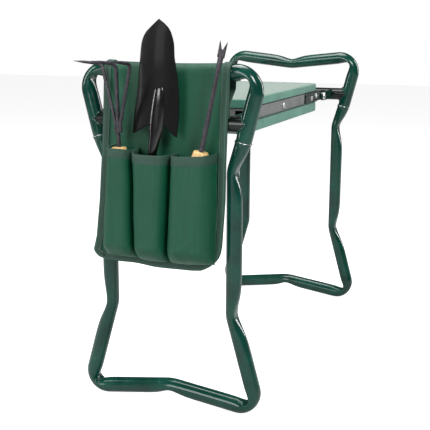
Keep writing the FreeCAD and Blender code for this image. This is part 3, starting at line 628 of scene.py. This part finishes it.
# ---- Binding: folded tape round the panel's edge, with two rows of stitches ----
# The tape follows the cut edge down one side, across the bottom and up the other. It is greyer than
# the cloth, and its raised stitches catch the light.
TAPE = 10.5
EDGE_STEPS = 260
FOOT_STEPS = 60
steps = [panel_along(i / EDGE_STEPS) for i in range(EDGE_STEPS + 1)]
left, right = edge_at(PANEL_FOOT, 1), edge_at(PANEL_FOOT, -1)
outline = [Vector((edge_at(s, 1), s)) for s in reversed(steps)]
outline += [Vector((left + (right - left) * i / FOOT_STEPS, PANEL_FOOT)) for i in range(1, FOOT_STEPS)]
outline += [Vector((edge_at(s, -1), s)) for s in steps]


def inward_at(index):
    """The way in from the panel's edge, in cloth places."""
    a, b = outline[max(0, index - 2)], outline[min(len(outline) - 1, index + 2)]
    way = (b - a).normalized()
    return Vector((way.y, -way.x))


def tape_run(name, run, inward, width, point_of, front, back):
    """A folded tape along a run of cloth places; front and back are how far it stands off the cloth."""
    rings, places = [], []
    length = 0.0
    for i, spot in enumerate(run):
        if i:
            length += (point_of(*spot) - point_of(*run[i - 1])).length
        way = inward(i)
        ruffle = 0.25 * noise.noise(Vector((length * 0.05, 0, 5.0)))
        ring = []
        for a, b in (
            (width, front - 0.3), (width - 0.5, front), (width * 0.5, front + 0.15 + ruffle),
            (0.6, front), (-0.7, front * 0.4), (-0.8, back * 0.5),
            (0.4, back), (width * 0.5, back), (width, back + 0.15),
        ):
            at = spot + way * a
            ring.append(point_of(at.x, at.y, b))
            places.append((a, length))
        rings.append(ring)
    points, faces = loft(rings, closed=False)
    return build(name, points, faces, tape_cloth, "pouch_frame", places=places)


STITCH_PITCH = 3.4
STITCH_LENGTH = 2.3
# A stitch as (place along, half width, height) rows, and its section as (across, up) shares.
STITCH = ((-0.5, 0.1, 0.0), (-0.3, 0.32, 0.3), (0.3, 0.32, 0.3), (0.5, 0.1, 0.0))
STITCH_SECTION = ((-1, 0.0), (-0.6, 0.8), (0.6, 0.8), (1, 0.0))


def stitch_row(name, run, inward, inset, point_of, lift):
    """A row of raised thread stitches along a run of cloth places."""
    points, faces, length, due = [], [], 0.0, 1.0
    for i in range(1, len(run)):
        start, stop = run[i - 1], run[i]
        step = (stop - start).length
        way = (stop - start).normalized()
        side = Vector((way.y, -way.x))
        while due < length + step:
            spot = start.lerp(stop, (due - length) / step) + inward(i) * inset
            rings = []
            for t, wide, high in STITCH:
                ring = [spot + way * (t * STITCH_LENGTH) + side * (a * wide) for a, _ in STITCH_SECTION]
                lifts = [lift + up * high for _, up in STITCH_SECTION]
                rings.append([point_of(at.x, at.y, rise) for at, rise in zip(ring, lifts)])
            stitch_points, stitch_faces = loft(rings, closed=False)
            faces += [tuple(len(points) + k for k in face) for face in stitch_faces]
            points += stitch_points
            due += STITCH_PITCH
        length += step
    return build(name, points, faces, thread, "pouch_frame")


binding = tape_run("pouch_edge_binding", outline, inward_at, TAPE, panel_point, 1.7, -0.75)
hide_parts("pouch_binding")
edge_stitches = [
    stitch_row(f"binding_stitches_{name}", outline, inward_at, inset, panel_point, 1.75)
    for name, inset in (("outer", 2.0), ("inner", TAPE - 1.4))
]

# ---- Pockets: one front sheet, boxed out over three pockets and sewn down between them ----
# Its places across run from 0 to 3 times PITCH, one PITCH to a pocket. RIM gives the rim's place
# along at pockets counted from the left, and SEAMS gives each seam's (along, across) places.
PITCH = 118.0
POCKET_CLOTH = 0.8
POCKET_LOW = 13.0
RIM = ((0, 169.4), (0.75, 169.0), (1.0, 166.5), (1.2, 163.2), (2.0, 162.6), (2.2, 163.0), (3.0, 165.4))
SEAMS = (
    ((0, 89), (40, 86), (90, 82), (170, 76)),
    ((0, 38), (170, 40.5)),
    ((0, -6), (170, -16)),
    ((0, -70), (40, -72), (90, -73), (170, -73.5)),
)
# How far each pocket stands out, and the length over which it rises from its foot.
BULGE = (37.0, 38.5, 38.0)
FOLD = 24


def pocket_surface(across, along):
    """A place of the pocket sheet as a point: boxed out between its seams, creased and tucked below."""
    count = min(2.9999, max(0.0, across / PITCH))
    index, share = int(count), count % 1
    left, right = follow(SEAMS[index], along), follow(SEAMS[index + 1], along)
    arch = math.sin(math.pi * share) ** 0.6 if 0 < share < 1 else 0.0
    rise = 1 - (1 - min(1.0, max(0.0, (along - POCKET_LOW - 1) / FOLD))) ** 1.5
    boxed = math.sqrt(rise)
    lower = smooth((75 - along) / 65)
    depth = BULGE[index] * (1 - abs(2 * share - 1) ** 4.4) ** 0.48 * boxed
    across_at = left + (right - left) * share
    crease = noise.noise(Vector((across_at * 0.05, along * 0.014, 11.0 + index)))
    pull = noise.noise(Vector((across_at * 0.075 + along * 0.045, along * 0.06, 23.0 + index)))
    tuck = noise.noise(Vector((across_at * 0.16 - along * 0.03, along * 0.035, 31.0)))
    depth += arch * boxed * (1.5 * crease + (2.6 * pull + 1.2 * tuck) * lower)
    swing = 2.2 * arch * noise.noise(Vector((along * 0.02, 5.0 * index, 41.0))) * boxed
    return panel_point(across_at + swing, along, 0.9) - Vector((depth, 0, 0))


def pocket_point(across, along, lift=0.0):
    """A place of the pocket sheet as a point, lifted square off its outer side."""
    spot = pocket_surface(across, along)
    if not lift:
        return spot
    side = pocket_surface(across + 1.5, along) - pocket_surface(across - 1.5, along)
    rise = pocket_surface(across, along + 2) - pocket_surface(across, along - 2)
    return spot + rise.cross(side).normalized() * lift


def rim_at(across):
    """How far along the pockets' rim is."""
    return follow(RIM, across / PITCH)


def pocket_place(r, c):
    """Crowds the columns towards the seams and the rows towards the bottom fold."""
    whole = min(2, int(c * 3))
    across = PITCH * (whole + 0.5 - 0.5 * math.cos(math.pi * (c * 3 - whole)))
    return across, POCKET_LOW + (rim_at(across) - POCKET_LOW) * (0.3 * r**2 + 0.7 * r)


points, faces, places = grid(96, 142, pocket_place, pocket_point)
pockets = build("pocket_front_sheet", points, faces, pouch_cloth, "pouch_frame", places=places)
thicken(pockets, POCKET_CLOTH)
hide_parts("pocket_left", "pocket_middle", "pocket_right")

RIM_TAPE = 12.0
RIM_STEPS = 420
rim_across = [3 * PITCH * i / RIM_STEPS for i in range(RIM_STEPS + 1)]
rim_run = [Vector((across, rim_at(across))) for across in rim_across]


def down(_):
    """The way in from the pockets' rim, in cloth places."""
    return Vector((0, -1))


rim_tape = tape_run("pocket_rim_binding", rim_run, down, RIM_TAPE, pocket_point, 1.4, -1.0)
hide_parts("pocket_bindings")
pocket_stitches = [
    stitch_row(f"rim_stitches_{name}", rim_run, down, inset, pocket_point, 1.5)
    for name, inset in (("outer", 1.8), ("inner", RIM_TAPE - 1.3))
]
for index, name in ((1, "left"), (2, "right")):
    run = [Vector((index * PITCH, along)) for along in range(18, 160, 2)]
    pocket_stitches.append(stitch_row(f"pocket_seam_stitches_{name}", run, down, 0.0, pocket_point, 0.6))

# ---- Hook-and-loop tape: the flap's fastener behind the panel ----
# The nylon pile is dull and fuzzy, finer on the hooks than on the loops.
for name, tone, pile in (("hook_strip", "#0d2a20", 0.5), ("loop_strip", "#123529", 1.1)):
    finish, place = new_finish(f"{name}_nylon_pile")
    fuzz = mottle(finish, place, pile, 2.0, 0.8)
    surface(
        finish,
        {
            "Base Color": tint(finish, fuzz, colour(tone), colour("#2e5a49")),
            "Roughness": 0.85,
            "Sheen Weight": 0.6,
            "Normal": bump(finish, fuzz, 0.5),
        },
    )
    low, high = (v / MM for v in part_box(name))
    middle = (low.x + high.x) / 2
    points, faces, places = grid(
        9,
        60,
        lambda r, c: (low.y + (high.y - low.y) * c, low.z + (high.z - low.z) * r),
        lambda y, z: Vector((middle + 0.12 * noise.noise(Vector((0, y * 0.1, z * 0.1))), y, z)),
    )
    strip = build(f"{name}_pile", points, faces, finish, "pouch_frame", places=places)
    thicken(strip, 0.5)
    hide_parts(name)

# ---- Tool handles: turned ash with grain along them ----
# The grain is noise stretched along the handle, with darker pores, under a thin clear varnish.
TOOL_X = -290.4
ash, place = new_finish("handle_turned_varnished_ash")
stretched = add(ash, "VectorMath", {0: place, 1: (1.0, 1.0, 0.06)}, operation="MULTIPLY")[0]
rings_pattern = mottle(ash, stretched, 2.2, 3.0, 0.6)
pores = mottle(ash, stretched, 0.5, 2.0)
grain = tint(ash, between(ash, rings_pattern, 0, 1, 0.35, 0.62), colour("#e6c88f"), colour("#c9a063"))
surface(
    ash,
    {
        "Base Color": tint(ash, between(ash, pores, 0, 0.55, 0.58, 0.7), grain, colour("#8a6232")),
        "Roughness": between(ash, rings_pattern, 0.36, 0.55),
        "Coat Weight": 0.25,
        "Coat Roughness": 0.2,
        "Normal": bump(ash, pores, 0.08),
    },
)
HANDLE_WIDE = 13.2
# The handle's half width as a share of HANDLE_WIDE, at places up its length.
FORM = (
    (0.012, 0.5), (0.05, 0.78), (0.16, 0.97), (0.25, 1.0), (0.4, 0.94), (0.55, 0.86),
    (0.66, 0.9), (0.78, 0.97), (0.88, 0.93), (0.96, 0.83), (0.992, 0.76),
)


def tool_place(y, foot, lean, turn=0.0):
    """Where a tool stands: its own Z runs up its handle from the handle's foot."""
    spot = Matrix.Translation(Vector((TOOL_X, y, foot)) * MM)
    return spot @ Matrix.Rotation(math.radians(-lean), 4, "X") @ Matrix.Rotation(math.radians(turn), 4, "Z")


def stand(piece, where, body):
    """Puts a piece that was built about its tool's foot in its place."""
    piece.parent = None
    piece.matrix_world = where
    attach(piece, body)
    return piece


def spline(table, at):
    """A smooth value read along a table of (place, value) rows."""
    for i, ((a, low), (b, high)) in enumerate(zip(table, table[1:])):
        if at <= b:
            before = table[i - 1] if i else (a, low)
            after = table[i + 2] if i + 2 < len(table) else (b, high)
            t, width = (at - a) / (b - a), b - a
            m0 = (high - before[1]) / max(1e-6, b - before[0]) * width
            m1 = (after[1] - low) / max(1e-6, after[0] - a) * width
            return (
                low * (1 + 2 * t) * (1 - t) ** 2 + high * t * t * (3 - 2 * t)
                + m0 * t * (1 - t) ** 2 - m1 * t * t * (1 - t)
            )
    return table[-1][1]


def wooden_handle(tool, length, where):
    """A turned handle: a rounded foot, a swell, a waist and a narrower top."""
    foot, reach = FORM[0][0], 0.98
    levels = [foot + reach * i / 60 for i in range(61)]
    outline = [(0.06, 0.0), (0.3, 0.0), *((spline(FORM, t), t) for t in levels), (0.7, 1.0), (0.2, 1.001)]
    rings = []
    for wide, tall in outline:
        half = HANDLE_WIDE * wide
        rings.append([Vector((half * math.cos(a), half * math.sin(a), length * tall)) for a in turns(40)])
    handle = stand(build(f"{tool}_turned_handle", *loft(rings), ash, tool), where, tool)
    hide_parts(f"{tool}_handle")


# ---- Cultivator and weeder: gunmetal-coated rod, hooked and forked ----
# Each tool is built about its handle's foot. The thin coat is scuffed, so its grey sheen is patchy.
gunmetal, place = new_finish("tool_gunmetal_coated_rod")
scuff = mottle(gunmetal, place, 4, 5.0, 0.7)
worn_share = between(gunmetal, scuff, 0, 1, 0.4, 0.7)
surface(
    gunmetal,
    {
        "Base Color": tint(gunmetal, worn_share, colour("#27242b"), colour("#454048")),
        "Metallic": 0.35,
        "Roughness": between(gunmetal, scuff, 0.34, 0.56),
        "Normal": bump(gunmetal, mottle(gunmetal, place, 0.9, 3.0), 0.05),
    },
)


def rod(name, corners, radii, size, tool, where, across=Vector((0, 1, 0)), sides=20):
    """A bent rod of a tool; size(share, s, total) gives its two half widths at a distance s."""
    points, _ = bent_path([Vector(c) for c in corners], radii)
    total = sum((b - a).length for a, b in zip(points, points[1:]))
    rings = tube_rings(points, lambda s: size(s / total, s, total), across, sides=sides)
    return stand(build(name, *loft(rings), gunmetal, tool), where, tool)


def tine_size(radius):
    """A tine is round, flattens a little past its hook and ends in a blunt point."""

    def size(share, s, total):
        tip = smooth((total - s) / 15)
        flat = smooth((s - total + 34) / 20)
        thin = radius * (0.28 + 0.72 * tip) * (1 - 0.22 * flat)
        broad = radius * (0.22 + 0.78 * tip) * (1 + 0.12 * flat)
        return thin, broad

    return size


TINE_TOP = 256
TINE_HOOK = 38
TINE_SPREAD = 33
TINE_RISE = 5
SPLAY = math.radians(15)
grip = tool_place(55.6, 223.8, 1.5, 152)
wooden_handle("cultivator", 146, grip)
shank = rod(
    "cultivator_middle_tine",
    [(0, 0, 112.2), (0, 0, TINE_TOP), (TINE_HOOK, 0, TINE_TOP + TINE_RISE)],
    (8,),
    tine_size(2.7),
    "cultivator",
    grip,
)
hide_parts("cultivator_shank")
for name, side in (("near", -1), ("far", 1)):
    bend = Vector((0, side * TINE_SPREAD, TINE_TOP))
    hook = bend + Vector((TINE_HOOK * math.cos(SPLAY), side * TINE_HOOK * math.sin(SPLAY), TINE_RISE))
    tine = rod(
        f"cultivator_side_tine_{name}",
        [(0, side * 5.1, 166), (0, side * 5.1, 178), bend, hook],
        (12, 8),
        tine_size(2.4),
        "cultivator",
        grip,
    )
    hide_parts("cultivator_side_tines")
    rod(
        f"cultivator_weld_{name}",
        [(1.4, side * 2.7, 163), (1.4, side * 2.8, 172), (1.4, side * 2.9, 181)],
        (40,),
        lambda share, s, total: (1.9 + 0.25 * math.sin(s * 2.6), 1.6 + 0.25 * math.sin(s * 2.6)),
        "cultivator",
        grip,
        sides=12,
    )

fork = tool_place(-29.2, 230.8, -12.2)
wooden_handle("weeder", 142, fork)


def fork_size(share, s, total):
    """The weeder's rod flattens and widens into its forked blade."""
    spread = smooth((s - total + 34) / 30)
    return 3.3 - 1.7 * spread, 3.3 - 0.4 * smooth(share * 1.3) + 1.2 * spread


stem = rod("weeder_stem", [(0, 0, 108), (0, 0, 190), (0, 0, 276)], (900,), fork_size, "weeder", fork)
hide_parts("weeder_shank")
for name, side in (("near", -1), ("far", 1)):
    rod(
        f"weeder_prong_{name}",
        [(0, side * 1.9, 266), (0, side * 2.5, 273), (0, side * 5.0, 286)],
        (30,),
        lambda share, s, total: (1.6 * (1.1 - share) + 0.2, 2.9 * (1.03 - share**1.5) + 0.2),
        "weeder",
        fork,
    )

# ---- Trowel: dished enamelled blade with two rear lobes, and a pressed socket that rises into it ----
# The blade's film is near black and satin, with fine scratches along it; the socket is glossy and
# carries one narrow highlight.
enamel, place = new_finish("trowel_black_enamelled_steel")
film = mottle(enamel, place, 12, 4.0, 0.6)
drawn_out = add(enamel, "VectorMath", {0: place, 1: (1.0, 1.0, 0.08)}, operation="MULTIPLY")[0]
scratches = mottle(enamel, drawn_out, 1.1, 2.0)
surface(
    enamel,
    {
        "Base Color": tint(enamel, film, colour("#010102"), colour("#040405")),
        "Roughness": between(enamel, film, 0.42, 0.55, 0.3, 0.7),
        "Specular IOR Level": 0.16,
        "Coat Weight": 0.04,
        "Coat Roughness": 0.1,
        "Normal": bump(enamel, scratches, 0.03),
    },
)
glossy, place = new_finish("socket_glossy_enamelled_steel")
surface(
    glossy,
    {
        "Base Color": colour("#070608"),
        "Roughness": between(glossy, mottle(glossy, place, 8), 0.12, 0.24),
        "Specular IOR Level": 0.7,
    },
)
# Each edge of the blade as (Z, Y) places, and the foot's Z at shares of its width, from the right.
BLADE_LEFT = (
    (385, 42.0), (392, 41.4), (400, 40.4), (415, 38.6), (431, 35.6), (447, 32.8), (462, 31.2), (478, 29.0),
    (490, 27.4), (500, 26.4), (507, 25.4), (512, 23.9), (517, 21.4), (522, 17.8), (527, 12.2), (532, 6.4),
    (536, 1.6), (538, -0.6),
)
BLADE_RIGHT = (
    (385, -22.0), (400, -23.6), (415, -25.2), (431, -25.8), (447, -25.6), (462, -24.8), (478, -22.6),
    (490, -21.0), (500, -20.7), (507, -20.3), (512, -19.3), (517, -18.0), (522, -16.4), (527, -13.6),
    (532, -8.8), (536, -3.4), (538, -0.7),
)
BLADE_FOOT = (
    (0, 386.0), (0.04, 386.6), (0.15, 394.0), (0.25, 400.6), (0.34, 403), (0.56, 403), (0.63, 400.6),
    (0.78, 395.4), (0.93, 389.8), (1, 388.8),
)
BLADE_TIP = 537.8
BLADE_SHEET = 1.5
# The blade's surface runs this far in front of the handle's middle, and its dish has this curve.
BLADE_OUT = 2.2
DISH = 112


def blade_place(r, c):
    """Crowds the blade's rows towards its round tip."""
    low = follow(BLADE_FOOT, c)
    z = low + (BLADE_TIP - low) * (1 - (1 - r) ** 1.25)
    return follow(BLADE_RIGHT, z) * (1 - c) + follow(BLADE_LEFT, z) * c, z


def blade_point(y, z):
    """The blade's dish bows out along its middle, and its tip turns back towards the pouch."""
    middle = (follow(BLADE_RIGHT, z) + follow(BLADE_LEFT, z)) / 2
    tip_turn = 0.0006 * max(0.0, z - 470) ** 2
    return Vector((TOOL_X - BLADE_OUT + (y - middle) ** 2 / DISH + tip_turn, y, z))


points, faces, places = grid(80, 40, blade_place, blade_point)
blade = build("trowel_dished_blade", points, faces, enamel, "trowel")
thicken(blade, BLADE_SHEET)
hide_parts("trowel_head")
# The socket's middle (Y), half width and half depth at places up Z.
SOCKET_FOOT = 341
SOCKET_LENGTH = 114
NECK_LOW = 345
NECK = ((NECK_LOW, 12.4), (363, 10.4), (378, 7.8), (392, 5.4), (415, 2.6), (435, 0.4), (455, -1.2))
NECK_WIDE = (
    (NECK_LOW, 6.0), (366, 6.3), (380, 7.8), (395, 9.8), (415, 10.2), (435, 8.8), (446, 7.2), (452, 4.6),
    (455, 0.6),
)
NECK_TALL = ((NECK_LOW, 6.0), (366, 6.1), (395, 5.4), (415, 5.0), (440, 4.4), (450, 3.0), (455, 0.5))


def socket_ring(z):
    """The socket's section: an arch in front, flatter behind where it lies on the blade."""
    y, wide, tall = (spline(table, max(NECK_LOW, z)) for table in (NECK, NECK_WIDE, NECK_TALL))
    back = 0.9 - 0.6 * smooth((z - 385) / 20)
    ring = []
    for a in turns(36):
        deep = tall * math.cos(a) * (1 if math.cos(a) > 0 else back)
        ring.append(Vector((TOOL_X - 0.6 - deep, y + wide * math.sin(a), z)))
    return ring


rings = [socket_ring(SOCKET_FOOT + SOCKET_LENGTH * i / 110) for i in range(111)]
socket = build("trowel_pressed_socket", *loft(rings), glossy, "trowel")
wooden_handle("trowel", 122, tool_place(19.8, 225.8, -3.7))

# ---- Studio: pale plain floor, soft boxes and the camera ----
# The floor and the surround are bright to the camera only, so they don't wash the object out.
floor_finish, place = new_finish("studio_pale_floor_paint")
floor_tone = tint(floor_finish, mottle(floor_finish, place, 400), colour("#c4c6c6"), colour("#cccece"))
floor_seen = add(floor_finish, "LightPath")["Is Camera Ray"]
surface(
    floor_finish,
    {
        "Base Color": floor_tone,
        "Roughness": 0.7,
        "Emission Color": (1, 1, 1, 1),
        "Emission Strength": between(floor_finish, floor_seen, 0.0, 0.86),
    },
)
mesh = bpy.data.meshes.new("studio_floor")
mesh.from_pydata([(-7, -7, 0), (7, -7, 0), (7, 7, 0), (-7, 7, 0)], [], [(0, 1, 2, 3)])
mesh.materials.append(floor_finish)
floor = link("studio_floor", mesh)


def soft_box(name, spot, aim, size, power):
    """A square area light that faces a point."""
    lamp = bpy.data.lights.new(name, "AREA")
    lamp.shape, lamp.size, lamp.size_y, lamp.energy = "RECTANGLE", *size, power
    box = link(name, lamp)
    box.location = spot
    box.rotation_euler = (Vector(aim) - Vector(spot)).to_track_quat("-Z", "Y").to_euler()


soft_box("key_soft_box", (-1.5, -1.5, 1.7), (0, 0, 0.3), (0.6, 1.0), 50)
soft_box("top_soft_box", (0.1, 0.2, 2.0), (0, 0, 0.2), (1.4, 0.8), 34)
soft_box("pouch_soft_box", (-2.2, 0.5, 0.9), (-0.25, 0, 0.35), (0.9, 0.9), 20)
soft_box("rim_strip_box", (-0.8, 1.6, 1.0), (0, 0, 0.3), (0.2, 1.4), 16)
soft_box("fill_strip_box", (1.6, -1.3, 0.9), (0.2, 0, 0.3), (0.25, 1.4), 18)

world = bpy.data.worlds.new("studio_surround")
world.use_nodes = True
level = between(world, add(world, "LightPath")["Is Camera Ray"], 0.1, 1.0)
background = world.node_tree.nodes["Background"]
world.node_tree.links.new(level, background.inputs["Strength"])
background.inputs["Color"].default_value = (1, 1, 1, 1)
bpy.context.scene.world = world
bpy.context.scene.view_settings.view_transform = "Standard"

AIM = Vector((38.6, 46.19, 212.6)) * MM
DISTANCE = 1518.74 * MM
azimuth, height, roll = (math.radians(v) for v in (-69.2053, 12.0418, 0.2824))
flat = math.cos(height)
away = Vector((math.sin(azimuth) * flat, -math.cos(azimuth) * flat, math.sin(height)))
level_way = (-away).cross(Vector((0, 0, 1))).normalized()
upright = level_way.cross(-away)
right = level_way * math.cos(roll) + upright * math.sin(roll)
up = upright * math.cos(roll) - level_way * math.sin(roll)
camera = link("product_camera", bpy.data.cameras.new("product_camera"))
camera.data.lens, camera.data.sensor_width = 74.23, 36.0
camera.matrix_world = Matrix((right, up, away)).transposed().to_4x4()
camera.location = AIM + away * DISTANCE
bpy.context.scene.camera = camera
